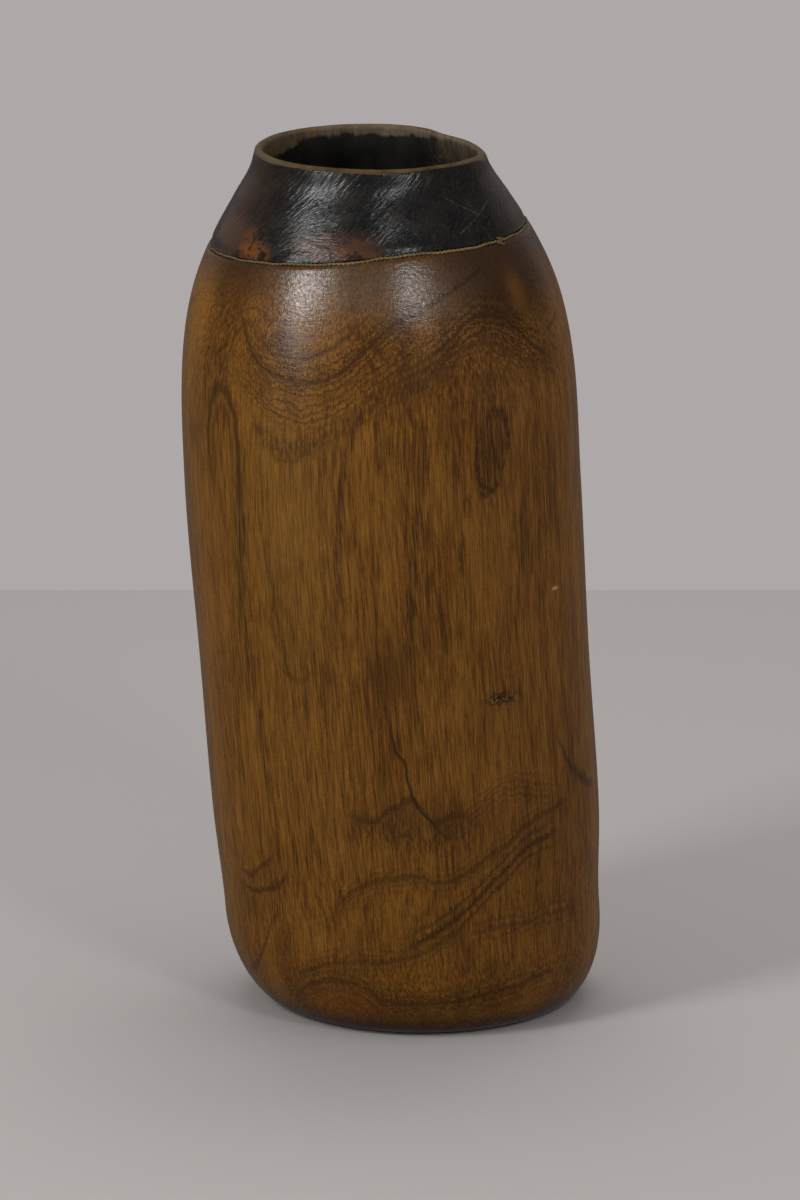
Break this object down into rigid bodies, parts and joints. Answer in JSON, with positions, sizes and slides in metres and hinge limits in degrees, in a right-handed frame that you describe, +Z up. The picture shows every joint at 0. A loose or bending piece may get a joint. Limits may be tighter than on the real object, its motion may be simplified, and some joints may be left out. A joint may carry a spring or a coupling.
{
  "type": "milk container",
  "caption": "Tall leaning milk vessel carved from one block of hardwood, open at the mouth, with a shrunk hide collar on its tapering neck and a thin fibre strand at the collar's foot.",
  "frame": {"origin": "the middle of the flat foot, on the surface that the vessel stands on", "axes": "+Z up from the foot to the mouth; -Y towards the front that the picture shows; the mouth leans towards -X"},
  "size_m": [0.1873, 0.1768, 0.3899],
  "materials": {
    "oiled_hardwood": "oiled and handled to a soft polish, figured golden brown; bare and greyer on the lip, charred black inside",
    "smoked_hide": "smoked near-black hide, finely wrinkled, greasy sheen, rubbed russet near its lower edge",
    "fibre_strand": "dry twisted plant fibre, pale tan, darkened with grease in places"
  },
  "bodies": {
    "root": {"carved_body": "oiled_hardwood", "hide_collar": "smoked_hide", "binding_strand": "fibre_strand"}
  },
  "joints": []
}
